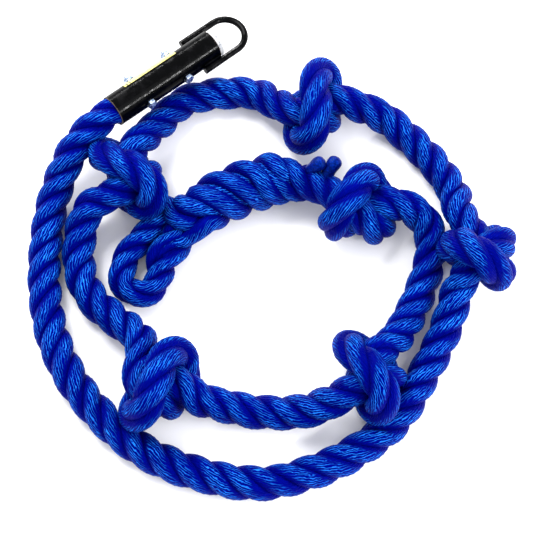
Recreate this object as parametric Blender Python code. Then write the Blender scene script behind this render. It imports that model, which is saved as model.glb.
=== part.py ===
"""Knotted climbing rope, lying in two loose turns, with a steel tube clamp and hanging eye at its top end.

The rope is one 38 mm three-strand rope. Its route starts at the clamp's mouth, runs once round the outside,
turns in and ends in a spliced eye. It carries six tight overhand knots. Each stretch between knots, each
knot and the splice is a closed solid of its own, and neighbours keep a small gap.

Frame: metres, +Z up, the floor at Z = 0 and the footprint's middle at X = Y = 0. +Y points to the side of
the ring where the clamp lies.
"""

import math

import bmesh
import bpy
import numpy as np
from mathutils import Matrix, Vector

GAP = 0.0003  # between pieces that touch
FOOTPRINT_MIDDLE = (-0.005576, 0.017022, -0.000764)  # in the coordinates used below; it becomes the origin

# Rope
ROPE_DIAMETER = 0.038
ROPE_RADIUS = ROPE_DIAMETER / 2
TUBE_STEP = 0.014  # spacing of rings along a plain stretch
KNOT_STEP = 0.009  # spacing of rings inside a knot
EYE_STEP = 0.008
END_RING = 0.004  # from an end face to the next ring
SAMPLES_PER_POINT = 24  # fine samples between two route points

# Radius of each solid, in rope diameters. A pulled-tight knot squeezes the rope inside it.
FREE = 0.50
BY_KNOT = 0.45  # also at the clamp's mouth
KNOT_ENTRY = 0.38
KNOT_INSIDE = 0.27
SPLICE_FULL = 0.70
SPLICE_FORK = 0.56
EYE_LEG = 0.39
TAIL_RADIUS = 0.00620

# The stretches between knots, from the clamp's mouth to the splice.
STRETCHES = [
    [
        (-0.1868, 0.1744, 0.0621), (-0.1957, 0.1669, 0.0630), (-0.215, 0.149, 0.0585),
        (-0.236, 0.123, 0.0475), (-0.253, 0.088, 0.028), (-0.262, 0.035, 0.019),
        (-0.260, -0.040, 0.019), (-0.240, -0.112, 0.019), (-0.200, -0.172, 0.019),
        (-0.145, -0.221, 0.019), (-0.080, -0.249, 0.019), (-0.010, -0.260, 0.019),
        (0.063, -0.240, 0.019), (0.131, -0.1965, 0.019), (0.174, -0.132, 0.020),
        (0.203, -0.072, 0.028), (0.214, -0.037, 0.040),
    ],
    [
        (0.220, 0.054, 0.038), (0.215, 0.089, 0.024), (0.197, 0.124, 0.019),
        (0.168, 0.159, 0.019), (0.138, 0.185, 0.024), (0.108, 0.193, 0.037),
    ],
    [
        (0.010, 0.197, 0.036), (-0.018, 0.219, 0.023), (-0.060, 0.2220, 0.019),
        (-0.1035, 0.2105, 0.019), (-0.1325, 0.178, 0.028),
    ],
    [
        (-0.210, 0.062, 0.040), (-0.2215, 0.036, 0.026), (-0.2235, 0.008, 0.019),
        (-0.218, -0.021, 0.019), (-0.201, -0.049, 0.019), (-0.174, -0.073, 0.023),
        (-0.147, -0.100, 0.037),
    ],
    [
        (-0.080, -0.169, 0.036), (-0.048, -0.174, 0.024), (-0.010, -0.179, 0.019),
        (0.020, -0.180, 0.020), (0.050, -0.177, 0.030),
    ],
    [
        (0.137, -0.102, 0.038), (0.158, -0.067, 0.024), (0.173, -0.034, 0.019),
        (0.184, 0.002, 0.019), (0.187, 0.032, 0.020), (0.175, 0.056, 0.027), (0.153, 0.065, 0.038),
    ],
]

# Each knot: its middle, the way the rope runs through it, its roll about that line, and its size along the
# rope, upwards and across, as shares of OVERHAND.
KNOTS = [
    {"centre": (0.2345, 0.001, 0.050), "heading": 79, "roll": -80, "size": (0.72, 0.62, 0.70)},
    {"centre": (0.052, 0.192, 0.043), "heading": 195, "roll": 0, "size": (0.72, 0.72, 0.67)},
    {"centre": (-0.166, 0.102, 0.047), "heading": 251, "roll": 20, "size": (0.73, 0.71, 0.74)},
    {"centre": (-0.124, -0.156, 0.046), "heading": -4, "roll": -10, "size": (0.66, 0.72, 0.70)},
    {"centre": (0.1085, -0.1425, 0.052), "heading": 52, "roll": -34, "size": (0.72, 0.72, 0.70)},
    {"centre": (0.103, 0.065, 0.043), "heading": 172, "roll": 55, "size": (0.72, 0.70, 0.66)},
]

# Half an overhand knot, from its middle to where the rope leaves, in rope diameters: x along the rope,
# y up, z across. The other half is the same one turned half a turn about y.
OVERHAND = [
    (0.0, 0.9, 0.0), (-0.2, 0.8, 0.8), (-0.5, 0.35, 1.3), (-0.8, -0.3, 1.3), (-0.9, -0.85, 0.85),
    (-0.7, -1.0, 0.15), (-0.3, -0.7, -0.4), (0.2, -0.2, -0.5), (0.85, 0.15, -0.3),
]

# The splice: the standing rope with the returned strands tucked round it, then the eye and the strand ends.
SPLICE = [
    (0.054, 0.088, 0.041), (0.024, 0.099, 0.034), (-0.010, 0.100, 0.0285), (-0.041, 0.088, 0.0280),
    (-0.073, 0.071, 0.0275), (-0.100, 0.0565, 0.0245),
]
SPLICE_RADII = [FREE, 0.64, SPLICE_FULL, SPLICE_FULL, 0.68, SPLICE_FORK]
EYE = [
    (-0.1180, 0.0690, 0.0165), (-0.1300, 0.0555, 0.0158), (-0.1440, 0.0400, 0.0158),
    (-0.1610, 0.0200, 0.0160), (-0.1720, -0.0040, 0.0160), (-0.1700, -0.0262, 0.0160),
    (-0.1540, -0.0370, 0.0160), (-0.1365, -0.0300, 0.0160), (-0.1265, -0.0060, 0.0160),
    (-0.1190, 0.0160, 0.0160), (-0.1075, 0.0340, 0.0165),
]
TAILS = [
    [(0.0475, 0.1105, 0.0600), (0.0545, 0.1110, 0.0640), (0.0610, 0.1095, 0.0670)],
    [(0.0692, 0.1022, 0.0564), (0.0745, 0.1088, 0.0600), (0.0785, 0.1150, 0.0620)],
]

# Clamp, in its own frame: x along the tube from its mouth, y to its left, z up.
CLAMP_AT = (-0.186, 0.175, 0.062)
CLAMP_HEADING = 40.0  # degrees from +X
CLAMP_DROOP = 4.6  # the eye end hangs this many degrees below the mouth
TUBE_LENGTH = 0.150
TUBE_OUTER = 0.019
TUBE_INNER = 0.0172
TUBE_EDGE = 0.0004
ROUND_SEGMENTS = 56

BAIL_WIRE = 0.0042
BAIL_SIDE = TUBE_OUTER + BAIL_WIRE + GAP
BAIL_OVERLAP = 0.029
BAIL_REACH = 0.045  # wire's centre at the top of the eye, beyond the tube's end
BEAD_RADIUS = 0.0014
BEAD_LENGTH = 0.024

BOLT_STATIONS = (0.042, 0.098)
BOLT_ROLL = 5.0  # degrees: the heads stand this much above level
SHANK_RADIUS = 0.003175
BOLT_HOLE = 0.0035
HEX_FLATS = 0.0111
HEAD_HEIGHT = 0.0041
NUT_HEIGHT = 0.0056
HEX_CHAMFER = 0.0005
WASHER_OUTER = 0.0074
WASHER_THICK = 0.0015
THREAD_SHOWING = 0.0032

LABEL_FROM, LABEL_TO = 0.026, 0.102
LABEL_LOW, LABEL_HIGH = 31.0, 62.0  # degrees up from the tube's left side
LABEL_THICK = 0.0003
LABEL_STEPS = 8

ROPE_IN_CLAMP = 0.0166
TAPED_RADIUS = 0.0156
TAPE_FROM = 0.1425
ROPE_END = 0.156
TAPE_OUTER = 0.0168

MATERIALS = {
    "rope": ((0.004, 0.030, 0.350), 0.60, 0.0),
    "black_paint": ((0.004, 0.004, 0.005), 0.18, 0.3),
    "zinc": ((0.62, 0.64, 0.66), 0.30, 1.0),
    "label": ((0.85, 0.72, 0.16), 0.45, 0.0),
    "tape": ((0.80, 0.81, 0.83), 0.55, 0.0),
}


def material(name):
    """The named material, made on its first use."""
    if name in bpy.data.materials:
        return bpy.data.materials[name]
    colour, roughness, metallic = MATERIALS[name]
    made = bpy.data.materials.new(name)
    made.use_nodes = True
    shader = made.node_tree.nodes["Principled BSDF"]
    shader.inputs["Base Color"].default_value = (*colour, 1.0)
    shader.inputs["Roughness"].default_value = roughness
    shader.inputs["Metallic"].default_value = metallic
    made.diffuse_color = (*colour, 1.0)
    return made


def clear_scene():
    for found in list(bpy.data.objects):
        bpy.data.objects.remove(found, do_unlink=True)


def link(name, data, material_name, parent=None):
    made = bpy.data.objects.new(name, data)
    bpy.context.scene.collection.objects.link(made)
    data.materials.append(material(material_name))
    made.parent = parent
    return made


# ---- Rope route ------------------------------------------------------------------------------------------


def knot_points(centre, heading, roll, size):
    """The overhand knot's points in the row frame."""
    half = np.array(OVERHAND)
    other_half = half[:0:-1] * (-1, 1, -1)
    local = np.concatenate([other_half, half]) * size * ROPE_DIAMETER
    turn, tilt = math.radians(heading), math.radians(roll)
    along = np.array((math.cos(turn), math.sin(turn), 0.0))
    across = np.cross(along, (0.0, 0.0, 1.0))
    up = np.array((0.0, 0.0, math.cos(tilt))) + across * math.sin(tilt)
    across = np.cross(along, up)
    return np.array(centre) + local @ np.stack([along, up, across])


def smooth(points):
    """A centripetal Catmull-Rom curve through the points, with SAMPLES_PER_POINT samples between two."""
    points = np.asarray(points, float)
    padded = np.concatenate([[2 * points[0] - points[1]], points, [2 * points[-1] - points[-2]]])
    chords = np.linalg.norm(np.diff(padded[:, :3], axis=0), axis=1)
    knots = np.concatenate([[0], np.cumsum(np.sqrt(chords))])
    pieces = []
    for i in range(1, len(padded) - 2):
        t = np.linspace(knots[i], knots[i + 1], SAMPLES_PER_POINT, endpoint=False)[:, None]
        t0, t1, t2, t3 = knots[i - 1 : i + 3]
        p0, p1, p2, p3 = padded[i - 1 : i + 3]
        a1 = (t1 - t) / (t1 - t0) * p0 + (t - t0) / (t1 - t0) * p1
        a2 = (t2 - t) / (t2 - t1) * p1 + (t - t1) / (t2 - t1) * p2
        a3 = (t3 - t) / (t3 - t2) * p2 + (t - t2) / (t3 - t2) * p3
        b1 = (t2 - t) / (t2 - t0) * a1 + (t - t0) / (t2 - t0) * a2
        b2 = (t3 - t) / (t3 - t1) * a2 + (t - t1) / (t3 - t1) * a3
        pieces.append((t2 - t) / (t2 - t1) * b1 + (t - t1) / (t2 - t1) * b2)
    return np.concatenate(pieces + [points[-1:]])


def rings(line, step, first=0, last=None):
    """Evenly spaced x, y, z and radius along line[first] to line[last], less half a gap at both ends.

    The second ring from each end lies straight ahead of the end face, square to the whole line there, so two
    neighbours' end faces are parallel.
    """
    last = len(line) - 1 if last is None else last
    piece = line[first : last + 1]
    along = np.concatenate([[0], np.cumsum(np.linalg.norm(np.diff(piece[:, :3], axis=0), axis=1))])
    inner = np.linspace(END_RING, along[-1] - END_RING, max(2, round(along[-1] / step)))
    at = np.concatenate([[0], inner, [along[-1]]])
    made = np.stack([np.interp(at, along, piece[:, k]) for k in range(4)], axis=1)
    for index, end, near, way in ((first, 0, 1, 1), (last, -1, -2, -1)):
        ahead = line[min(index + 1, len(line) - 1), :3] - line[max(index - 1, 0), :3]
        ahead *= way / np.linalg.norm(ahead)
        made[end, :3] = line[index, :3] + ahead * GAP / 2
        made[near, :3] = line[index, :3] + ahead * END_RING
    return made


def tube(name, line, material_name, sides=3, parent=None):
    """A closed round tube along the line's x, y, z, with the line's radius at each point."""
    data = bpy.data.curves.new(name, "CURVE")
    data.dimensions = "3D"
    data.bevel_depth = ROPE_RADIUS
    data.bevel_resolution = sides
    data.use_fill_caps = True
    spline = data.splines.new("POLY")
    spline.points.add(len(line) - 1)
    for point, (x, y, z, radius) in zip(spline.points, line):
        point.co = (x, y, z, 1.0)
        point.radius = radius / ROPE_RADIUS
    return link(name, data, material_name, parent)


def with_radius(points, radii):
    """The points, each with its radius in rope diameters made metres."""
    radii = np.broadcast_to(np.asarray(radii, float), len(points)) * ROPE_DIAMETER
    return np.column_stack([np.asarray(points, float), radii])


def rope():
    """Every stretch and knot, cut from one smooth route."""
    parts = []
    for number, (points, knot) in enumerate(zip(STRETCHES, KNOTS)):
        radii = [BY_KNOT, *[FREE] * (len(points) - 2), BY_KNOT]
        parts.append(("stretch", with_radius(points, radii)))
        loops = knot_points(**knot)
        inside = [KNOT_INSIDE] * (len(loops) - 2)
        parts.append(("knot", with_radius(loops, [KNOT_ENTRY, *inside, KNOT_ENTRY])))
    parts.append(("splice", with_radius(SPLICE, SPLICE_RADII)))

    line = smooth(np.concatenate([points for _, points in parts]))
    names = ["rope_clamp_to_knot_1"] + [f"rope_knot_{n}_to_{n + 1}" for n in range(1, len(KNOTS))]
    first, knot_number = 0, 0
    for kind, points in parts:
        last = first + len(points) - 1
        if kind == "knot":
            knot_number += 1
            begin, end = first * SAMPLES_PER_POINT, last * SAMPLES_PER_POINT
            tube(f"knot_{knot_number}", rings(line, KNOT_STEP, begin, end), "rope", sides=2)
        else:
            # A stretch reaches from the knot before it to the knot after it.
            begin = max(first - 1, 0) * SAMPLES_PER_POINT
            end = (last + 1) * SAMPLES_PER_POINT if kind == "stretch" else last * SAMPLES_PER_POINT
            name = names[knot_number] if kind == "stretch" else "splice_body"
            tube(name, rings(line, TUBE_STEP, begin, end), "rope")
        first = last + 1


def splice_ends():
    """The spliced eye and the cut ends of the three tucked strands."""
    eye = smooth(with_radius(EYE, EYE_LEG))
    tube("splice_eye", rings(eye, EYE_STEP), "rope")
    for number, points in enumerate(TAILS, 1):
        line = smooth(with_radius(points, TAIL_RADIUS / ROPE_DIAMETER))
        tube(f"splice_tail_{number}", rings(line, EYE_STEP), "rope", sides=2)


# ---- Clamp -----------------------------------------------------------------------------------------------


def turned(name, profile, material_name, parent=None, segments=ROUND_SEGMENTS, closed=False):
    """A solid turned about x from (x, radius) pairs. A closed profile makes a ring."""
    mesh = bmesh.new()
    rings = []
    for x, radius in profile:
        if radius == 0:
            rings.append([mesh.verts.new((x, 0, 0))])
            continue
        angles = [2 * math.pi * k / segments for k in range(segments)]
        rings.append([mesh.verts.new((x, radius * math.cos(a), radius * math.sin(a))) for a in angles])
    pairs = list(zip(rings, rings[1:]))
    if closed:
        pairs.append((rings[-1], rings[0]))
    for one, two in pairs:
        for k in range(segments):
            corners = [one[k % len(one)], one[(k + 1) % len(one)], two[(k + 1) % len(two)], two[k % len(two)]]
            mesh.faces.new(list(dict.fromkeys(corners)))
    bmesh.ops.recalc_face_normals(mesh, faces=mesh.faces)
    return from_bmesh(name, mesh, material_name, parent)


def from_bmesh(name, mesh, material_name, parent=None):
    data = bpy.data.meshes.new(name)
    mesh.to_mesh(data)
    mesh.free()
    data.shade_smooth()
    data.set_sharp_from_angle(angle=math.radians(35))
    return link(name, data, material_name, parent)


def along_bolt(station, offset):
    """The matrix that lays x along the bolt's axis, across the tube, offset from the tube's own axis."""
    across = Matrix.Rotation(math.radians(-BOLT_ROLL), 4, "X") @ Matrix.Rotation(math.pi / 2, 4, "Z")
    return Matrix.Translation((station, 0, 0)) @ across @ Matrix.Translation((offset, 0, 0))


def hexagon(name, height, parent):
    """A hexagon head or nut from x = 0 to height, its far edges chamfered."""
    corner = HEX_FLATS / math.sqrt(3)
    profile = [(0, 0), (0, corner), (height - HEX_CHAMFER, corner), (height, corner - HEX_CHAMFER), (height, 0)]
    return turned(name, profile, "zinc", parent, 6)


def rod_profile(start, end, radius):
    return [(start, 0), (start, radius), (end, radius), (end, 0)]


def cut(target, cutter, operation="DIFFERENCE"):
    """A Boolean of the target with a hidden guide."""
    cutter.hide_render = True
    cutter.display_type = "WIRE"
    change = target.modifiers.new(cutter.name, "BOOLEAN")
    change.solver = "EXACT"
    change.operation = operation
    change.object = cutter


def tube_profile():
    e = TUBE_EDGE
    return [
        (e, TUBE_OUTER), (TUBE_LENGTH - e, TUBE_OUTER), (TUBE_LENGTH, TUBE_OUTER - e),
        (TUBE_LENGTH, TUBE_INNER + e), (TUBE_LENGTH - e, TUBE_INNER), (e, TUBE_INNER),
        (0, TUBE_INNER + e), (0, TUBE_OUTER - e),
    ]


def bail(parent):
    """The U of round bar, welded along both sides of the tube."""
    start = TUBE_LENGTH - BAIL_OVERLAP
    bend = TUBE_LENGTH + BAIL_REACH - BAIL_SIDE
    arc = [math.radians(a) for a in range(-90, 91, 10)]
    points = [(start, -BAIL_SIDE, 0)]
    points += [(bend + BAIL_SIDE * math.cos(a), BAIL_SIDE * math.sin(a), 0) for a in arc]
    points += [(start, BAIL_SIDE, 0)]
    tube("eye_bail", with_radius(points, BAIL_WIRE / ROPE_DIAMETER), "black_paint", 4, parent)


def weld_beads(parent):
    """A bead in each of the four grooves between the tube and the bail's legs."""
    to_tube, to_wire = TUBE_OUTER + BEAD_RADIUS + GAP, BAIL_WIRE + BEAD_RADIUS + GAP
    side = (to_tube**2 - to_wire**2 + BAIL_SIDE**2) / (2 * BAIL_SIDE)
    height = math.sqrt(to_tube**2 - side**2)
    start = TUBE_LENGTH - BAIL_OVERLAP + (BAIL_OVERLAP - BEAD_LENGTH) / 2
    for across, left_right in ((-side, "right"), (side, "left")):
        for up, upper_lower in ((height, "upper"), (-height, "lower")):
            ends = [(start + share * BEAD_LENGTH, across, up) for share in (0, 0.08, 0.92, 1)]
            radii = [share * BEAD_RADIUS / ROPE_DIAMETER for share in (0.5, 1, 1, 0.5)]
            tube(f"weld_{left_right}_{upper_lower}", with_radius(ends, radii), "black_paint", 2, parent)


def bolt_set(number, station, parent):
    """One bolt across the tube with its washer and nut. Returns the drill that clears its shank."""
    head_face = TUBE_OUTER + GAP
    nut_face = head_face + WASHER_THICK + GAP
    end = nut_face + NUT_HEIGHT + GAP + THREAD_SHOWING

    bolt = hexagon(f"bolt_{number}", HEAD_HEIGHT, parent)
    bolt.matrix_local = along_bolt(station, -head_face) @ Matrix.Rotation(math.pi, 4, "Z")
    shank = [(-0.002, 0), (-0.002, SHANK_RADIUS), (head_face + end - TUBE_EDGE, SHANK_RADIUS),
             (head_face + end, SHANK_RADIUS - TUBE_EDGE), (head_face + end, 0)]
    core = turned(f"bolt_{number}_core", shank, "zinc", parent, 24)
    core.matrix_local = along_bolt(station, -head_face)
    cut(bolt, core, "UNION")

    ring = [(0, BOLT_HOLE), (WASHER_THICK, BOLT_HOLE), (WASHER_THICK, WASHER_OUTER), (0, WASHER_OUTER)]
    washer = turned(f"washer_{number}", ring, "zinc", parent, 28, closed=True)
    washer.matrix_local = along_bolt(station, head_face)

    nut = hexagon(f"nut_{number}", NUT_HEIGHT, parent)
    nut.matrix_local = along_bolt(station, nut_face)

    drill = turned(f"drill_{number}", rod_profile(-0.03, 0.03, BOLT_HOLE), "zinc", parent, 24)
    drill.matrix_local = along_bolt(station, 0)
    cut(nut, drill)
    return drill


def label(parent):
    """A thin curved plate on the tube's upper left side."""
    mesh = bmesh.new()
    inner, outer = TUBE_OUTER + GAP, TUBE_OUTER + GAP + LABEL_THICK
    rows = []
    for step in range(LABEL_STEPS + 1):
        angle = math.radians(LABEL_LOW + (LABEL_HIGH - LABEL_LOW) * step / LABEL_STEPS)
        corners = [(LABEL_FROM, inner), (LABEL_TO, inner), (LABEL_TO, outer), (LABEL_FROM, outer)]
        rows.append([mesh.verts.new((x, r * math.cos(angle), r * math.sin(angle))) for x, r in corners])
    for one, two in zip(rows, rows[1:]):
        for k in range(4):
            mesh.faces.new((one[k], one[(k + 1) % 4], two[(k + 1) % 4], two[k]))
    mesh.faces.new(rows[0])
    mesh.faces.new(rows[-1])
    bmesh.ops.recalc_face_normals(mesh, faces=mesh.faces)
    from_bmesh("plain_label", mesh, "label", parent)


def clamp():
    """The tube clamp, everything on it and the rope inside it, under one empty at the tube's mouth."""
    frame = bpy.data.objects.new("clamp_frame", None)
    bpy.context.scene.collection.objects.link(frame)
    frame.location = Vector(CLAMP_AT)
    frame.rotation_euler = (0, math.radians(CLAMP_DROOP), math.radians(CLAMP_HEADING))

    body = turned("clamp_tube", tube_profile(), "black_paint", frame, closed=True)
    core = [(0, 0), (0, ROPE_IN_CLAMP), (TAPE_FROM, ROPE_IN_CLAMP), (TAPE_FROM, TAPED_RADIUS),
            (ROPE_END, TAPED_RADIUS), (ROPE_END, 0)]
    inside = turned("rope_in_clamp", core, "rope", frame)
    tape = [(TAPE_FROM + GAP, TAPED_RADIUS + GAP), (ROPE_END + GAP, TAPED_RADIUS + GAP),
            (ROPE_END + GAP, TAPE_OUTER), (TAPE_FROM + GAP, TAPE_OUTER)]
    turned("end_tape", tape, "tape", frame, closed=True)
    for number, station in enumerate(BOLT_STATIONS, 1):
        drill = bolt_set(number, station, frame)
        cut(body, drill)
        cut(inside, drill)
    bail(frame)
    weld_beads(frame)
    label(frame)


clear_scene()
rope()
splice_ends()
clamp()
for made in bpy.context.scene.objects:
    if made.parent is None:
        made.location -= Vector(FOOTPRINT_MIDDLE)
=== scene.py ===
import math

import bmesh
import bpy
import numpy as np
from mathutils import Euler, Matrix, Vector


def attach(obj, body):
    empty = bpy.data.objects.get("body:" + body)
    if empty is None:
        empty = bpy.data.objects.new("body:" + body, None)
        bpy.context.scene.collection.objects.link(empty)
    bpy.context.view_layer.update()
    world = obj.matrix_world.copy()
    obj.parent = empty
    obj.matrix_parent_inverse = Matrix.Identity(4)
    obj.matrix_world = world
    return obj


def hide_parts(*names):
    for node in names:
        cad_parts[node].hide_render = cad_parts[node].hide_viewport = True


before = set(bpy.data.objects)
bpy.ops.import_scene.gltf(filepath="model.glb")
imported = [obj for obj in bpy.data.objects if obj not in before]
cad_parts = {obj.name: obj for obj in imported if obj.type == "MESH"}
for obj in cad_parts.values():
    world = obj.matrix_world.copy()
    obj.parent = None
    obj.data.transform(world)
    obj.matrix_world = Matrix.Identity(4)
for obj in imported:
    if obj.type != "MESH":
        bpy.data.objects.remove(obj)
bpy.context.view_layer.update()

# A knotted climbing rope, laid from three strands along the CAD's route, with its splice, clamp and finishes.

# ---- Camera ----------------------------------------------------------------------------------------------

ELEVATION = 68.5  # degrees above the floor
CAMERA_DISTANCE = 1.75
CAMERA_TARGET = (-0.0052, -0.0038, 0.0185)  # in the route's own coordinates
FOOTPRINT_MIDDLE = (-0.005576, 0.017022, -0.000764)  # taken from the route's coordinates to get the frame's
LENS, SENSOR = 101.9, 36.0  # millimetres

camera_data = bpy.data.cameras.new("camera")
camera_data.lens = LENS
camera_data.sensor_width = SENSOR
camera_data.clip_end = 20.0
camera = bpy.data.objects.new("camera", camera_data)
bpy.context.scene.collection.objects.link(camera)
tilt = math.radians(90 - ELEVATION)
camera.rotation_euler = (tilt, 0.0, 0.0)
away = Vector((0.0, -math.sin(tilt), math.cos(tilt)))
camera.location = Vector(CAMERA_TARGET) - Vector(FOOTPRINT_MIDDLE) + away * CAMERA_DISTANCE
bpy.context.scene.camera = camera

# ---- Rope route, as in the CAD ---------------------------------------------------------------------------

DIAMETER = 0.038  # the rope's diameter
STEP = 0.0045  # between points along a strand
KNOT_DRAWN = 0.88  # knots start this much tighter than the CAD's, as their strands then push outwards
SAMPLES_PER_POINT = 24

# The runs, as x, y, z: from the clamp to knot 1, then from each knot to the next.
STRETCHES = [
    [
        (-0.1868, 0.1744, 0.0621), (-0.1957, 0.1669, 0.0630), (-0.215, 0.149, 0.0585),
        (-0.236, 0.123, 0.0475), (-0.253, 0.088, 0.028), (-0.262, 0.035, 0.019),
        (-0.260, -0.040, 0.019), (-0.240, -0.112, 0.019), (-0.200, -0.172, 0.019),
        (-0.145, -0.221, 0.019), (-0.080, -0.249, 0.019), (-0.010, -0.260, 0.019),
        (0.063, -0.240, 0.019), (0.131, -0.1965, 0.019), (0.174, -0.132, 0.020),
        (0.203, -0.072, 0.028), (0.214, -0.037, 0.040),
    ],
    [
        (0.220, 0.054, 0.038), (0.215, 0.089, 0.024), (0.197, 0.124, 0.019),
        (0.168, 0.159, 0.019), (0.138, 0.185, 0.024), (0.108, 0.193, 0.037),
    ],
    [
        (0.010, 0.197, 0.036), (-0.018, 0.219, 0.023), (-0.060, 0.2220, 0.019),
        (-0.1035, 0.2105, 0.019), (-0.1325, 0.178, 0.028),
    ],
    [
        (-0.210, 0.062, 0.040), (-0.2215, 0.036, 0.026), (-0.2235, 0.008, 0.019),
        (-0.218, -0.021, 0.019), (-0.201, -0.049, 0.019), (-0.174, -0.073, 0.023),
        (-0.147, -0.100, 0.037),
    ],
    [
        (-0.080, -0.169, 0.036), (-0.048, -0.174, 0.024), (-0.010, -0.179, 0.019),
        (0.020, -0.180, 0.020), (0.050, -0.177, 0.030),
    ],
    [
        (0.137, -0.102, 0.038), (0.158, -0.067, 0.024), (0.173, -0.034, 0.019),
        (0.184, 0.002, 0.019), (0.187, 0.032, 0.020), (0.175, 0.056, 0.027), (0.153, 0.065, 0.038),
    ],
]
KNOTS = [
    {"centre": (0.2345, 0.001, 0.050), "heading": 79, "roll": -80, "size": (0.72, 0.62, 0.70)},
    {"centre": (0.052, 0.192, 0.043), "heading": 195, "roll": 0, "size": (0.72, 0.72, 0.67)},
    {"centre": (-0.166, 0.102, 0.047), "heading": 251, "roll": 20, "size": (0.73, 0.71, 0.74)},
    {"centre": (-0.124, -0.156, 0.046), "heading": -4, "roll": -10, "size": (0.66, 0.72, 0.70)},
    {"centre": (0.1085, -0.1425, 0.052), "heading": 52, "roll": -34, "size": (0.72, 0.72, 0.70)},
    {"centre": (0.103, 0.065, 0.043), "heading": 172, "roll": 55, "size": (0.72, 0.70, 0.66)},
]
# Half an overhand knot, in its own frame and in sizes of the knot: x along the rope, y up, z across.
OVERHAND = [
    (0.0, 0.9, 0.0), (-0.2, 0.8, 0.8), (-0.5, 0.35, 1.3), (-0.8, -0.3, 1.3), (-0.9, -0.85, 0.85),
    (-0.7, -1.0, 0.15), (-0.3, -0.7, -0.4), (0.2, -0.2, -0.5), (0.85, 0.15, -0.3),
]
SPLICE = [
    (0.054, 0.088, 0.041), (0.024, 0.099, 0.034), (-0.010, 0.100, 0.0285), (-0.041, 0.088, 0.0280),
    (-0.073, 0.071, 0.0275), (-0.100, 0.0565, 0.0245),
]
EYE = [
    (-0.1180, 0.0690, 0.0165), (-0.1300, 0.0555, 0.0158), (-0.1440, 0.0400, 0.0158),
    (-0.1610, 0.0200, 0.0160), (-0.1720, -0.0040, 0.0160), (-0.1700, -0.0262, 0.0160),
    (-0.1540, -0.0370, 0.0160), (-0.1365, -0.0300, 0.0160), (-0.1265, -0.0060, 0.0160),
    (-0.1190, 0.0160, 0.0160), (-0.1075, 0.0340, 0.0165),
]


def knot_points(centre, heading, roll, size):
    """One overhand knot's points. Its second half is the first, turned half a turn about y."""
    half = np.array(OVERHAND)
    other_half = half[:0:-1] * (-1, 1, -1)
    local = np.concatenate([other_half, half]) * size * DIAMETER * KNOT_DRAWN
    turn, lean = math.radians(heading), math.radians(roll)
    along = np.array((math.cos(turn), math.sin(turn), 0.0))
    across = np.cross(along, (0.0, 0.0, 1.0))
    up = np.array((0.0, 0.0, math.cos(lean))) + across * math.sin(lean)
    across = np.cross(along, up)
    return np.array(centre) + local @ np.stack([along, up, across])


def smooth(points):
    """A centripetal Catmull-Rom curve through rows whose first three numbers are a place."""
    points = np.asarray(points, float)
    padded = np.concatenate([[2 * points[0] - points[1]], points, [2 * points[-1] - points[-2]]])
    chords = np.linalg.norm(np.diff(padded[:, :3], axis=0), axis=1)
    knots = np.concatenate([[0], np.cumsum(np.sqrt(chords))])
    pieces = []
    for i in range(1, len(padded) - 2):
        t = np.linspace(knots[i], knots[i + 1], SAMPLES_PER_POINT, endpoint=False)[:, None]
        t0, t1, t2, t3 = knots[i - 1 : i + 3]
        p0, p1, p2, p3 = padded[i - 1 : i + 3]
        a1 = (t1 - t) / (t1 - t0) * p0 + (t - t0) / (t1 - t0) * p1
        a2 = (t2 - t) / (t2 - t1) * p1 + (t - t1) / (t2 - t1) * p2
        a3 = (t3 - t) / (t3 - t2) * p2 + (t - t2) / (t3 - t2) * p3
        b1 = (t2 - t) / (t2 - t0) * a1 + (t - t0) / (t2 - t0) * a2
        b2 = (t3 - t) / (t3 - t1) * a2 + (t - t1) / (t3 - t1) * a3
        pieces.append((t2 - t) / (t2 - t1) * b1 + (t - t1) / (t2 - t1) * b2)
    return np.concatenate(pieces + [points[-1:]])


def evenly(line, step):
    """The line again at even steps of its length, and how far along it each point is."""
    along = np.concatenate([[0], np.cumsum(np.linalg.norm(np.diff(line[:, :3], axis=0), axis=1))])
    at = np.linspace(0, along[-1], round(along[-1] / step) + 1)
    return np.stack([np.interp(at, along, column) for column in line.T], axis=1), at


def blur(values, width):
    """The rows, averaged with their neighbours by a bell curve of that many rows."""
    reach = int(3 * width)
    bell = np.exp(-0.5 * (np.arange(-reach, reach + 1) / width) ** 2)
    bell /= bell.sum()
    padded = np.concatenate([np.repeat(values[:1], reach, 0), values, np.repeat(values[-1:], reach, 0)])
    if values.ndim == 1:
        return np.convolve(padded, bell, "valid")
    return np.stack([np.convolve(column, bell, "valid") for column in padded.T], axis=1)


def unit(v):
    """The rows, each with a length of 1."""
    return v / np.linalg.norm(v, axis=-1, keepdims=True)


def transported(line):
    """Two directions square to the line and to each other, with no twist between one point and the next."""
    tangent = unit(np.gradient(line, axis=0))
    normal = np.empty_like(line)
    seed = np.cross(tangent[0], (0.0, 0.0, 1.0))
    normal[0] = unit(np.cross(seed, tangent[0]))
    for i in range(1, len(line)):
        kept = normal[i - 1] - tangent[i] * (normal[i - 1] @ tangent[i])
        normal[i] = kept / np.linalg.norm(kept)
    return normal, np.cross(tangent, normal)


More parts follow.
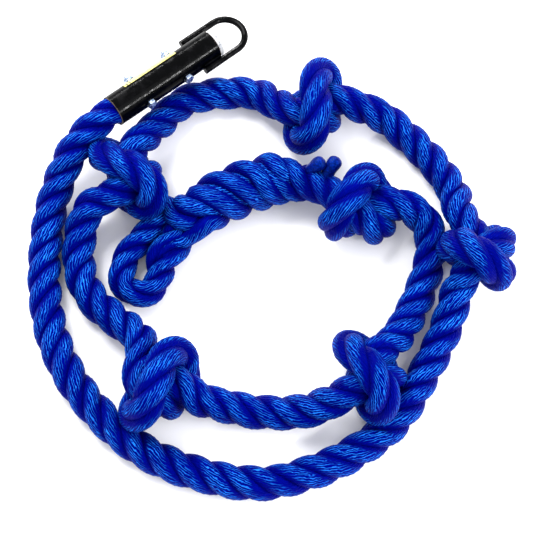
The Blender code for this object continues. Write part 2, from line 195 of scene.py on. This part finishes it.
LAY = 0.095  # one full turn of a strand
STRAND = 0.263  # a strand's radius, in rope diameters
OFFSET = 0.275  # its centre's distance from the rope's
START_STRAND, START_OFFSET = 0.150, 0.150  # in a knot, before it is let out
KNOT_STRAND = 0.275
SPLICE_STRAND, SPLICE_OFFSET = 0.262, 0.425
TUCK_STRAND, TUCK_OFFSET = 0.285, 0.500
TUCK_END_OFFSET = 0.12
TUCK_TURN = math.pi / 3  # they lie between the standing strands
EYE_STRAND, EYE_OFFSET = 0.222, 0.232
SOFT = 0.84  # strands sink into each other to this share of their two radii
SOFT_IN_KNOTS = 0.76
REACH = 0.0275  # no strand of the rope stands further than this from its middle
UNEVEN = 0.035  # how much a strand's thickness wanders
FLATTENED = 0.05  # a strand is this much lower than round, and this much wider
TIP = 0.3  # how far a strand's closed end stands out, in its radii
ROUND_A_STRAND = 16  # sides of its tube

NEAR = 0.036  # points of strands further apart than this at the start never press on each other
SAME_STRETCH = 0.034  # nor do points of one strand this close along it
TURNS = 260
LET_OUT_BY = 0.6  # the share of the turns after which the strands have their full radius
PUSH, STRAIGHTEN = 0.21, 0.45
ON_FLOOR = 0.96  # a strand's lowest height, as a share of its radius


def relax(strands, radii_from, radii_to, holds, softness):
    """Lets thin strands out to their full radius while they push each other, and the floor, away."""
    sizes = [len(s) for s in strands]
    start = np.concatenate(strands)
    place = np.concatenate([np.arange(n) for n in sizes])
    which = np.repeat(np.arange(len(sizes)), sizes)
    first, second = [], []
    order = np.argsort(start[:, 0], kind="stable")
    sorted_x = start[order, 0]
    for i in range(len(order)):
        stop = np.searchsorted(sorted_x, sorted_x[i] + NEAR)
        here, others = order[i], order[i + 1 : stop]
        gap = start[others] - start[here]
        near = others[(gap * gap).sum(1) < NEAR * NEAR]
        near = near[(which[near] != which[here]) | (abs(place[near] - place[here]) * STEP > SAME_STRETCH)]
        first.append(np.full(len(near), here))
        second.append(near)
    first, second = np.concatenate(first), np.concatenate(second)
    narrow, wide = np.concatenate(radii_from), np.concatenate(radii_to)
    keep = 1.0 - np.concatenate(holds)[:, None]
    soft = np.concatenate(softness)
    soft = np.minimum(soft[first], soft[second])
    inner = np.flatnonzero(which[:-2] == which[2:]) + 1
    moved = np.zeros_like(start)
    for turn in range(TURNS):
        radius = narrow + (wide - narrow) * min(1.0, turn / (LET_OUT_BY * TURNS))
        gap = start[second] + moved[second] - start[first] - moved[first]
        distance = np.sqrt((gap * gap).sum(1)) + 1e-9
        short = np.maximum(soft * (radius[first] + radius[second]) - distance, 0.0)
        push = gap * (PUSH * short / distance)[:, None]
        for axis in range(3):
            moved[:, axis] -= np.bincount(first, push[:, axis], len(start))
            moved[:, axis] += np.bincount(second, push[:, axis], len(start))
        moved[:, 2] += np.maximum(radius * ON_FLOOR - start[:, 2] - moved[:, 2], 0.0)
        moved *= keep
        for _ in range(2):
            moved[inner] += STRAIGHTEN * (0.5 * (moved[inner - 1] + moved[inner + 1]) - moved[inner])
    return np.split(start + moved, np.cumsum(sizes)[:-1])


def ramp(values, low, high):
    """0 at low, 1 at high, smooth between."""
    t = np.clip((values - low) / (high - low), 0.0, 1.0)
    return t * t * (3 - 2 * t)


INTO_CLAMP = 0.012  # how far inside the tube the drawn rope starts
MOUTH, MOUTH_PINCH = 0.045, 0.15  # over this length, the rope is pinched by this share at the tube's mouth
FADE = 0.010  # over which the rope's sizes change between a run, a knot, the splice and the eye
HELD, HELD_IN_KNOTS = 0.30, 0.0015  # the share of a point's move that each turn of relax takes back

# The whole rope: x, y, z, share of knot, share of splice, share of eye.
start = np.array(STRETCHES[0][0])
rows = [(*(start + INTO_CLAMP * unit(start - STRETCHES[0][1])), 0, 0, 0)]
for stretch, knot in zip(STRETCHES, KNOTS):
    rows += [(*p, 0, 0, 0) for p in stretch]
    rows += [(*p, 1, 0, 0) for p in knot_points(**knot)]
rows += [(*p, 0, i > 0, 0) for i, p in enumerate(SPLICE)]
rows += [(*p, 0, 0, 1) for p in EYE]
route = smooth(rows)
route[:, :3] -= FOOTPRINT_MIDDLE
route, along = evenly(route, STEP)
line = route[:, :3]
in_knot, in_splice, in_eye = (np.clip(blur(route[:, k], FADE / STEP), 0, 1) for k in (3, 4, 5))
mouth = np.clip(1.0 - along / MOUTH, 0, 1)
normal, binormal = transported(line)
phase = 2 * math.pi * along / LAY


def blend(plain, knot, splice, eye):
    """A size in metres along the rope, from its value in rope diameters in each kind of place."""
    size = plain + (knot - plain) * in_knot + (splice - plain) * in_splice + (eye - plain) * in_eye
    return size * (1 - MOUTH_PINCH * mouth) * DIAMETER


offset = blend(OFFSET, START_OFFSET, SPLICE_OFFSET, EYE_OFFSET)
radius_from = blend(STRAND, START_STRAND, SPLICE_STRAND, EYE_STRAND)
radius_to = blend(STRAND, KNOT_STRAND, SPLICE_STRAND, EYE_STRAND)
hold = HELD * (1 - in_knot) ** 2 + HELD_IN_KNOTS
softness = SOFT + (SOFT_IN_KNOTS - SOFT) * in_knot


def round_the_line(turn, index=slice(None), out=offset):
    """Points beside the rope's centreline, turned that far round it from the first strand."""
    a = (phase + turn)[index][:, None]
    return line[index] + out[index][:, None] * (np.cos(a) * normal[index] + np.sin(a) * binormal[index])


def uneven(count):
    """A slow wander about 1, different for each strand."""
    wander = blur(chance.standard_normal(count), 5.0)
    return 1 + UNEVEN * wander / wander.std()


chance = np.random.default_rng(11)  # seeded, so that every run gives the same rope
thirds = [2 * math.pi * k / 3 for k in range(3)]
standing = [round_the_line(turn) for turn in thirds]

# The eye's far end is unlaid and its strands tucked back between the standing ones, up to the last knot.
SHARED, EVERY = 9, 4  # a tucked strand starts on the eye strand's last 9 points, and keeps every fourth
SKIPPED = 7  # points left out where it turns back
SWELLS = (0.03, 0.08)  # it grows from an eye strand's radius to a tucked one's between these two lengths
TAPER, TAPERED_BY = 0.040, 0.5  # it thins by half over its last 40 mm, beside the knot
HELD_LENGTH, FIRST_HELD, REST_HELD = 0.035, 0.9, 0.2  # relax holds it fast where it leaves the eye
fork = int(np.flatnonzero(in_splice > 0.5)[-1])
knot_end = int(np.flatnonzero(in_splice > 0.5)[0])
back = np.arange(fork, knot_end - 1, -1)
tuck_out = np.empty(len(line))
sinking = ramp(np.arange(len(back)), len(back) - SHARED, len(back))
tuck_out[back] = DIAMETER * (TUCK_OFFSET + (TUCK_END_OFFSET - TUCK_OFFSET) * sinking)
runs = [round_the_line(turn + TUCK_TURN, back, tuck_out) for turn in thirds]
orders = [(0, 1, 2), (1, 2, 0), (2, 0, 1)]


def gap_at_fork(order):
    """How far the strands would have to reach, tucked in this order."""
    return sum(np.linalg.norm(standing[k][-1] - run[SKIPPED - 1]) for k, run in zip(order, runs))


order = min(orders, key=gap_at_fork)
tucked, tucked_radius, tuck_hold = [], [], []
for k, run in zip(order, runs):
    path, at = evenly(smooth(np.concatenate([standing[k][-SHARED::EVERY], run[SKIPPED::EVERY]])), STEP)
    tucked.append(path)
    swell = DIAMETER * (EYE_STRAND + (TUCK_STRAND - EYE_STRAND) * ramp(at, *SWELLS))
    tucked_radius.append(swell * (1 - TAPERED_BY * ramp(at, at[-1] - TAPER, at[-1])))
    tuck_hold.append(np.where(at < HELD_LENGTH, FIRST_HELD, REST_HELD))

shaped = relax(
    [*standing, *tucked],
    [radius_from] * 3 + tucked_radius,
    [radius_to] * 3 + tucked_radius,
    [hold] * 3 + tuck_hold,
    [softness] * 3 + [np.full(len(t), SOFT) for t in tucked],
)
standing, tucked = shaped[:3], shaped[3:]
HANDED_OVER, OVER = 0.35, 0.035  # the eye's strands thin by this share over this length, to the tucked ones
handed_over = 1 - HANDED_OVER * ramp(along, along[-1] - OVER, along[-1])
radii = [radius_to * handed_over * uneven(len(line)) for _ in thirds]
tucked_radii = [r * uneven(len(r)) for r in tucked_radius]
core = blur(np.mean(standing, axis=0), 2.0)
for k in range(3):
    out = standing[k] - core
    far = np.linalg.norm(out, axis=1)
    rein = blur(np.minimum(1.0, (REACH - radii[k] * (1 + FLATTENED)) / far), 1.0)
    standing[k] = core + out * rein[:, None]


def strand_mesh(name, strands, radii, cores, sides=ROUND_A_STRAND):
    """Closed tubes along the strands. The UV runs with the yarns: U across them and V along, in metres."""
    mesh = bmesh.new()
    uv = mesh.loops.layers.uv.new("lay")
    # The second UV, outwards, holds in its U how far the surface faces away from the rope's core: 1 on the
    # crest, 0 in the creases. The rope's finish uses it to paint shade into the creases.
    depth = mesh.loops.layers.uv.new("outwards")
    for strand, radius, core_line in zip(strands, radii, cores):
        ahead = unit(np.gradient(strand, axis=0))
        out = strand - core_line
        out -= ahead * (out * ahead).sum(1)[:, None]
        out = blur(unit(out), 1.5)
        out = unit(out - ahead * (out * ahead).sum(1)[:, None])
        side = np.cross(ahead, out)
        far = np.concatenate([[0], np.cumsum(np.linalg.norm(np.diff(strand, axis=0), axis=1))])
        angles = 2 * math.pi * np.arange(sides + 1) / sides - math.pi
        ring = (1 - FLATTENED) * np.cos(angles)[None, :, None] * out[:, None]
        ring = ring + (1 + FLATTENED) * np.sin(angles)[None, :, None] * side[:, None]
        places = strand[:, None] + radius[:, None, None] * ring
        across = angles[None, :] * radius[:, None] + YARN_SLOPE * far[:, None]
        verts = [[mesh.verts.new(p) for p in row[:-1]] for row in places]
        for i in range(len(verts) - 1):
            for k in range(sides):
                n = (k + 1) % sides
                face = mesh.faces.new((verts[i][k], verts[i][n], verts[i + 1][n], verts[i + 1][k]))
                face.smooth = True
                for loop, (row, column) in zip(face.loops, ((i, k), (i, k + 1), (i + 1, k + 1), (i + 1, k))):
                    loop[uv].uv = (across[row, column], far[row])
                    loop[depth].uv = (0.5 + 0.5 * math.cos(angles[column]), 0.5)
        for i, turn in ((0, -1), (-1, 1)):
            row = verts[i]
            tip = mesh.verts.new(strand[i] + ahead[i] * radius[i] * TIP * turn)
            for k in range(sides):
                pair = (row[k], row[(k + 1) % sides])
                mesh.faces.new((*pair[::turn], tip)).smooth = True
    bmesh.ops.recalc_face_normals(mesh, faces=mesh.faces)
    return put(name, mesh)


def put(name, mesh):
    """A new object from a bmesh."""
    data = bpy.data.meshes.new(name)
    mesh.to_mesh(data)
    mesh.free()
    made = bpy.data.objects.new(name, data)
    bpy.context.scene.collection.objects.link(made)
    return made


YARN_SLOPE = 0.75  # how steeply the yarns cross a strand
YARN_PITCH = 0.0029
rope = strand_mesh("rope", standing, radii, [core] * 3)
tuck_cores = []
for path in tucked:
    nearest = np.linalg.norm(path[:, None] - core[None, knot_end:], axis=2).argmin(axis=1)
    tuck_cores.append(blur(core[knot_end:][nearest], 3.0))
tucks = strand_mesh("splice_tucked_strands", tucked, tucked_radii, tuck_cores)


# ---- Splice tails, the rope inside the clamp, and its tape ------------------------------------------------

TAIL_STRAND = 0.0074
MELTED = 0.14  # the knob at a tip, over the strand
KNOB_FROM, KNOB_FULL = 2.4, 1.2  # it grows over these distances from the tip, in strand radii
TAIL_TIPS = [(0.0630, 0.1095, 0.0650), (0.0785, 0.1150, 0.0620)]
TAIL_ROOTS = [(0.0460, 0.1030, 0.0520), (0.0640, 0.0960, 0.0500)]
TAIL_BEND = (0, 0, 0.004)  # a tail's middle is this much above the straight line
BELOW = (0, 0, 0.01)  # a tail's outward side is away from the splice

CLAMP_AT = (-0.186, 0.175, 0.062)  # the middle of its mouth, in the route's coordinates
CLAMP_HEADING, CLAMP_DROOP = math.radians(40.0), math.radians(4.6)
SQUEEZED = 0.76  # the rope's share of its own size inside the tube
CLAMP_LENGTH = 0.150
TAPE_FROM, ROPE_END, TAPE_OUTER = 0.1425, 0.156, 0.0168  # along the clamp from its mouth, and a radius


def tail(root, tip):
    """One strand's end: it comes out of the splice, bends up and stops in a rounded, melted tip."""
    root, tip = np.array(root) - FOOTPRINT_MIDDLE, np.array(tip) - FOOTPRINT_MIDDLE
    bend = (root + tip) / 2 + TAIL_BEND
    path, at = evenly(smooth([root, bend, tip]), STEP / 3)
    left = at[-1] - at
    knob = TAIL_STRAND * (1 + MELTED * ramp(left, KNOB_FROM * TAIL_STRAND, KNOB_FULL * TAIL_STRAND))
    radius = knob * np.sqrt(np.clip(1 - np.clip(1 - left / TAIL_STRAND, 0, 1) ** 2, 0.02, 1))
    return path, radius


tails = [tail(root, tip) for root, tip in zip(TAIL_ROOTS, TAIL_TIPS)]
tail_ends = strand_mesh("splice_tails", [t[0] for t in tails], [t[1] for t in tails],
                        [t[0] - BELOW for t in tails])

clamp_frame = Matrix.Translation(Vector(CLAMP_AT) - Vector(FOOTPRINT_MIDDLE)) @ Euler(
    (0.0, CLAMP_DROOP, CLAMP_HEADING), "XYZ").to_matrix().to_4x4()


def in_clamp(points):
    """From the clamp's frame (x along the tube from its mouth, y left, z up) into the scene."""
    matrix = np.array(clamp_frame)
    return np.asarray(points) @ matrix[:3, :3].T + matrix[:3, 3]


HELD_FROM = 0.008
LOOSER = 0.97  # the strands' thickness there, for clearance
inside_x = np.arange(HELD_FROM, ROPE_END, STEP)
inside_core = np.stack([inside_x, 0 * inside_x, 0 * inside_x], axis=1)
inside = []
for turn in thirds:
    a = turn + 2 * math.pi * inside_x / LAY
    out = SQUEEZED * OFFSET * DIAMETER * np.stack([0 * a, np.cos(a), -np.sin(a)], axis=1)
    inside.append(in_clamp(inside_core + out))
held = np.full(len(inside_x), SQUEEZED * STRAND * DIAMETER * LOOSER)
held_rope = strand_mesh("rope_in_clamp_strands", inside, [held] * 3, [in_clamp(inside_core)] * 3)

ROUND_THE_TAPE, TAPE_WALL, TAPE_LIP = 72, 0.0006, 0.0002
TAPE_CREASE, CREASED_FROM = 0.00028, 0.150  # only outside the tube
TAPE_PULL, PULL_TURN = 0.0003, 0.5  # in between the three strands


def tape_ring():
    """Two wraps of tape round the rope's end, pulled in a little between the strands, with a few creases."""
    mesh = bmesh.new()
    stations = [(x, TAPE_OUTER) for x in np.linspace(TAPE_FROM, ROPE_END, 9)]
    stations += [(x, TAPE_OUTER - TAPE_WALL) for x in np.linspace(ROPE_END - TAPE_LIP, TAPE_FROM, 5)]
    angles = 2 * math.pi * np.arange(ROUND_THE_TAPE) / ROUND_THE_TAPE
    crease = blur(chance.standard_normal(ROUND_THE_TAPE), 1.0)
    rows_of_verts = []
    for x, radius in stations:
        pulled = TAPE_PULL * (1 - np.cos(3 * (angles + PULL_TURN)))
        r = radius - pulled - TAPE_CREASE * np.clip(crease, 0, 2) * (x > CREASED_FROM)
        points = np.stack([np.full(ROUND_THE_TAPE, x), r * np.cos(angles), r * np.sin(angles)], axis=1)
        rows_of_verts.append([mesh.verts.new(p) for p in in_clamp(points)])
    for i, here in enumerate(rows_of_verts):
        there = rows_of_verts[(i + 1) % len(rows_of_verts)]
        for k in range(ROUND_THE_TAPE):
            n = (k + 1) % ROUND_THE_TAPE
            mesh.faces.new((here[k], here[n], there[n], there[k])).smooth = True
    bmesh.ops.recalc_face_normals(mesh, faces=mesh.faces)
    return put("tape_wraps", mesh)


tape = tape_ring()

# ---- Finishes --------------------------------------------------------------------------------------------

MIX_COLOURS, MIXED = (6, 7), 2  # the Mix node's colour sockets, by number, as its names repeat


class Finish:
    """A material with one Principled shader, and short ways to add and join its nodes."""

    def __init__(self, name, **sockets):
        self.material = bpy.data.materials.new(name)
        self.material.use_nodes = True
        self.tree = self.material.node_tree
        self.shader = self.tree.nodes["Principled BSDF"]
        for key, value in sockets.items():
            socket = self.shader.inputs[key.replace("_", " ")]
            socket.default_value = (*value, 1.0) if isinstance(value, tuple) else value

    def node(self, kind, inputs=(), **settings):
        made = self.tree.nodes.new("ShaderNode" + kind)
        for key, value in settings.items():
            setattr(made, key, value)
        for key, value in dict(inputs).items():
            if isinstance(value, bpy.types.NodeSocket):
                self.tree.links.new(value, made.inputs[key])
            else:
                made.inputs[key].default_value = value
        return made

    def to_shader(self, socket, name):
        self.tree.links.new(socket, self.shader.inputs[name])

    def ramp(self, factor, *stops):
        made = self.node("ValToRGB", {"Fac": factor})
        elements = made.color_ramp.elements
        while len(elements) < len(stops):
            elements.new(0.5)
        for element, (place, colour) in zip(elements, stops):
            element.position = place
            element.color = (*colour, 1.0) if isinstance(colour, tuple) else (colour, colour, colour, 1.0)
        return made.outputs["Color"]

    def stretched(self, vector, scale):
        return self.node("VectorMath", {0: vector, 1: scale}, operation="MULTIPLY").outputs["Vector"]

    def noise(self, vector, scale=1.0, detail=3.0, roughness=0.55):
        inputs = {"Vector": vector, "Scale": scale, "Detail": detail, "Roughness": roughness}
        return self.node("TexNoise", inputs).outputs["Fac"]

    def math(self, operation, first, second=0.0):
        return self.node("Math", {0: first, 1: second}, operation=operation).outputs["Value"]

    def mix(self, factor, first, second):
        made = self.node("Mix", {"Factor": factor}, data_type="RGBA")
        for index, value in zip(MIX_COLOURS, (first, second)):
            if isinstance(value, tuple):
                made.inputs[index].default_value = (*value, 1.0)
            else:
                self.tree.links.new(value, made.inputs[index])
        return made.outputs[MIXED]

    def bump(self, height, depth, strength=1.0):
        made = self.node("Bump", {"Height": height, "Distance": depth, "Strength": strength})
        self.to_shader(made.outputs["Normal"], "Normal")


WANDER = 2.6  # how many yarns' widths the lines between them wander
CLOUDS = 0.7  # how unevenly the painted shade and light spread over the crests


def rope_finish():
    """Glossy blue fibre: finely lined yarns with a painted highlight, bright azure, on the strands' crests,
    and painted shade, deep blue, in the creases between them.
    """
    f = Finish("laid_blue_fibre", Roughness=0.48, Metallic=0.30, Specular_IOR_Level=0.06,
               Specular_Tint=(0.01, 0.17, 1.0))
    lay = f.node("UVMap", uv_map="lay").outputs["UV"]
    outwards = f.node("SeparateXYZ", {0: f.node("UVMap", uv_map="outwards").outputs["UV"]}).outputs["X"]
    across = f.node("SeparateXYZ", {0: lay}).outputs["X"]
    place = f.node("TexCoord").outputs["Object"]
    waver = f.noise(f.stretched(lay, (190.0, 95.0, 1.0)), detail=2.5, roughness=0.6)
    count = f.math("ADD", f.math("MULTIPLY", across, 1 / YARN_PITCH), f.math("MULTIPLY", waver, WANDER))
    line = f.ramp(f.math("PINGPONG", count, 0.5), (0.07, 0.0), (0.42, 1.0))
    fibres = f.noise(f.stretched(lay, (620.0, 48.0, 1.0)), detail=2.0)
    height = f.math("ADD", f.math("MULTIPLY", line, 0.55), f.math("MULTIPLY", fibres, 0.45))
    # The yarns' lines and fibres in colour: deep blue in the grooves between yarns, partly painted shade, up
    # to a painted highlight, bright azure, on their tops.
    lit = f.ramp(height, (0.34, (0.0, 0.0009, 0.125)), (0.62, (0.0001, 0.0040, 0.20)),
                 (0.86, (0.014, 0.210, 0.84)))
    # Painted shade: the colour turns deep blue in the creases, where the surface faces in towards the rope's
    # core, broken up a little by noise. The crests keep the yarns' colour.
    clouds = f.noise(place, scale=30.0, detail=2.0)
    crease_shade_mask = f.math("ADD", outwards, f.math("MULTIPLY", f.math("SUBTRACT", clouds, 0.5), CLOUDS))
    crease_shade_mask = f.ramp(crease_shade_mask, (0.77, 0.0), (1.00, 1.0))
    f.to_shader(f.mix(crease_shade_mask, (0.0, 0.0010, 0.155), lit), "Base Color")
    f.bump(height, 0.0020, 0.7)
    return f.material


def tail_finish():
    """The same fibre, cut and melted: darker, smoother and pitted."""
    f = Finish("melted_blue_end", Roughness=0.32, Specular_IOR_Level=0.35, Specular_Tint=(0.02, 0.25, 1.0))
    place = f.node("TexCoord").outputs["Object"]
    pits = f.noise(place, scale=420.0, detail=3.0)
    f.to_shader(f.ramp(pits, (0.40, (0.0, 0.0012, 0.07)), (0.75, (0.0005, 0.015, 0.27))), "Base Color")
    f.bump(pits, 0.0012, 0.8)
    return f.material


def along_clamp(f, piece):
    """How far a point of this piece is along the clamp's tube from its mouth, in metres."""
    frame_axis = clamp_frame.to_3x3().col[0]
    to_piece = piece.matrix_world.inverted()
    local = to_piece.to_3x3() @ frame_axis
    scale = 1.0 / local.length
    start = (to_piece @ clamp_frame.translation).dot(local) * scale
    place = f.node("TexCoord").outputs["Object"]
    dot = f.node("VectorMath", {0: place, 1: tuple(local * scale)}, operation="DOT_PRODUCT").outputs["Value"]
    return f.math("MULTIPLY", f.math("SUBTRACT", dot, start), scale)


WEAR_FADE, WEAR_PATCHES = 520.0, 1.15  # per metre from the tube's end, and how far the noise breaks it up


def paint_finish(piece, worn_ends):
    """Thick gloss black paint with small runs and scuffs, worn to bare steel where worn_ends is true."""
    f = Finish("gloss_black_paint", Specular_IOR_Level=0.05)
    place = f.node("TexCoord").outputs["Object"]
    scuffs = f.noise(place, scale=70.0, detail=5.0, roughness=0.7)
    black = f.ramp(scuffs, (0.50, (0.0005, 0.0006, 0.0008)), (0.85, (0.004, 0.004, 0.005)))
    gloss = f.ramp(scuffs, (0.44, 0.07), (0.60, 0.26))
    if worn_ends:
        x = along_clamp(f, piece)
        from_far_end = f.math("SUBTRACT", x, CLAMP_LENGTH)
        edge = f.math("MINIMUM", f.math("ABSOLUTE", x), f.math("ABSOLUTE", from_far_end))
        rub = f.noise(place, scale=260.0, detail=4.0, roughness=0.65)
        worn = f.math("ADD", f.math("MULTIPLY", edge, -WEAR_FADE), f.math("MULTIPLY", rub, WEAR_PATCHES))
        worn = f.ramp(worn, (0.14, 0.0), (0.34, 1.0))
        black = f.mix(worn, black, (0.085, 0.065, 0.050))
        gloss = f.math("ADD", gloss, f.math("MULTIPLY", worn, 0.25))
    f.to_shader(black, "Base Color")
    f.to_shader(gloss, "Roughness")
    f.bump(f.noise(place, scale=130.0, detail=2.0), 0.0005, 0.35)
    return f.material


def zinc_finish():
    """Bright zinc plating, with its faint grain in colour and gloss."""
    f = Finish("bright_zinc", Metallic=1.0)
    place = f.node("TexCoord").outputs["Object"]
    spangle = f.noise(place, scale=380.0, detail=3.0)
    f.to_shader(f.ramp(spangle, (0.38, (0.09, 0.14, 0.24)), (0.62, (0.48, 0.55, 0.68))), "Base Color")
    f.to_shader(f.ramp(spangle, (0.3, 0.22), (0.7, 0.42)), "Roughness")
    f.bump(spangle, 0.0003, 0.4)
    return f.material


FIRST_BAR, BAR_PITCH, BAR_WIDTH = 0.0300, 0.0044, 0.0014  # along the tube
BARS_FROM, BARS_TO = 0.0285, 0.0360


def label_finish(piece):
    """Pale yellow plastic film with a few plain dark bars at its end nearer the rope."""
    f = Finish("pale_yellow_film", Roughness=0.34, Specular_IOR_Level=0.5)
    place = f.node("TexCoord").outputs["Object"]
    x = along_clamp(f, piece)
    grime = f.noise(place, scale=170.0, detail=4.0)
    film = f.ramp(grime, (0.30, (0.44, 0.40, 0.10)), (0.62, (0.68, 0.62, 0.21)))
    bars = f.math("PINGPONG", f.math("SUBTRACT", x, FIRST_BAR), BAR_PITCH / 2)
    bars = f.math("LESS_THAN", bars, BAR_WIDTH / 2)
    near = f.math("MULTIPLY", f.math("GREATER_THAN", x, BARS_FROM), f.math("LESS_THAN", x, BARS_TO))
    f.to_shader(f.mix(f.math("MULTIPLY", bars, near), film, (0.02, 0.02, 0.02)), "Base Color")
    f.bump(grime, 0.0002, 0.3)
    return f.material


def tape_finish():
    """White cloth tape, grey where it is handled."""
    f = Finish("white_tape", Roughness=0.45)
    place = f.node("TexCoord").outputs["Object"]
    weave = f.noise(place, scale=240.0, detail=4.0, roughness=0.6)
    f.to_shader(f.ramp(weave, (0.36, (0.14, 0.15, 0.17)), (0.50, (0.46, 0.47, 0.49))), "Base Color")
    f.bump(weave, 0.0005, 0.6)
    return f.material


def paint(piece, material):
    """Gives the piece this material and no other."""
    piece.data.materials.clear()
    piece.data.materials.append(material)


fibre = rope_finish()
for piece in (rope, tucks, held_rope):
    paint(piece, fibre)
paint(tail_ends, tail_finish())
paint(tape, tape_finish())
for piece in (rope, tucks, held_rope, tail_ends):
    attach(piece, "root")
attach(tape, "root")
stretches = [f"rope_knot_{n}_to_{n + 1}" for n in range(1, 6)]
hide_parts("rope_clamp_to_knot_1", *stretches, *[f"knot_{n}" for n in range(1, 7)], "splice_eye")
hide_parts("splice_body")
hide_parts("splice_tail_1", "splice_tail_2")
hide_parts("rope_in_clamp")
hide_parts("end_tape")

zinc = zinc_finish()
for cad_piece in [o for o in bpy.data.objects if o.type == "MESH"]:
    name = cad_piece.name.rsplit(":")[-1]
    if name.startswith(("bolt_", "nut_", "washer_")):
        paint(cad_piece, zinc)
    elif name.startswith(("clamp_tube", "eye_bail", "weld_")):
        paint(cad_piece, paint_finish(cad_piece, name.startswith("clamp_tube")))
    elif name.startswith("plain_label"):
        paint(cad_piece, label_finish(cad_piece))

# ---- Stage -----------------------------------------------------------------------------------------------

FLOOR_HALF, WORLD_STRENGTH = 4.0, 1.2
floor_mesh = bpy.data.meshes.new("floor")
corners = [(x * FLOOR_HALF, y * FLOOR_HALF, 0) for x, y in ((-1, -1), (1, -1), (1, 1), (-1, 1))]
floor_mesh.from_pydata(corners, [], [(0, 1, 2, 3)])
floor = bpy.data.objects.new("floor", floor_mesh)
bpy.context.scene.collection.objects.link(floor)
floor_finish = Finish("pale_floor", Base_Color=(0.95, 0.95, 0.95), Roughness=0.85, Specular_IOR_Level=0.1)
floor.data.materials.append(floor_finish.material)

world = bpy.data.worlds.new("studio")
bpy.context.scene.world = world
world.use_nodes = True
world.node_tree.nodes["Background"].inputs["Color"].default_value = (1, 1, 1, 1)
world.node_tree.nodes["Background"].inputs["Strength"].default_value = WORLD_STRENGTH


def area(name, place, size, power, height=None, along=None):
    """An area light that faces the rope. With a height and a direction, it is a strip that lies along it."""
    data = bpy.data.lights.new(name, "AREA")
    data.size = size
    if height:
        data.shape, data.size_y = "RECTANGLE", height
    data.energy = power
    made = bpy.data.objects.new(name, data)
    bpy.context.scene.collection.objects.link(made)
    back = Vector(place).normalized()
    right = Vector(along or (-back.y, back.x, 0.0))
    right = (right - back * right.dot(back)).normalized()
    facing = Matrix((right, back.cross(right), back)).transposed()
    made.matrix_world = Matrix.Translation(place) @ facing.to_4x4()


tube_axis = tuple(clamp_frame.to_3x3().col[0])
area("key", (-0.8, 0.9, 1.9), size=1.0, power=46)
area("fill", (1.5, -1.1, 1.7), size=1.6, power=16)
for name, place in (("strip_behind", (-0.55, 1.85, 1.10)), ("strip_right", (1.50, -0.68, 1.10))):
    # Its reflection is a bright line along the tube.
    area(name, place, size=1.3, power=30.0, height=0.04, along=tube_axis)
bpy.context.scene.view_settings.view_transform = "Standard"
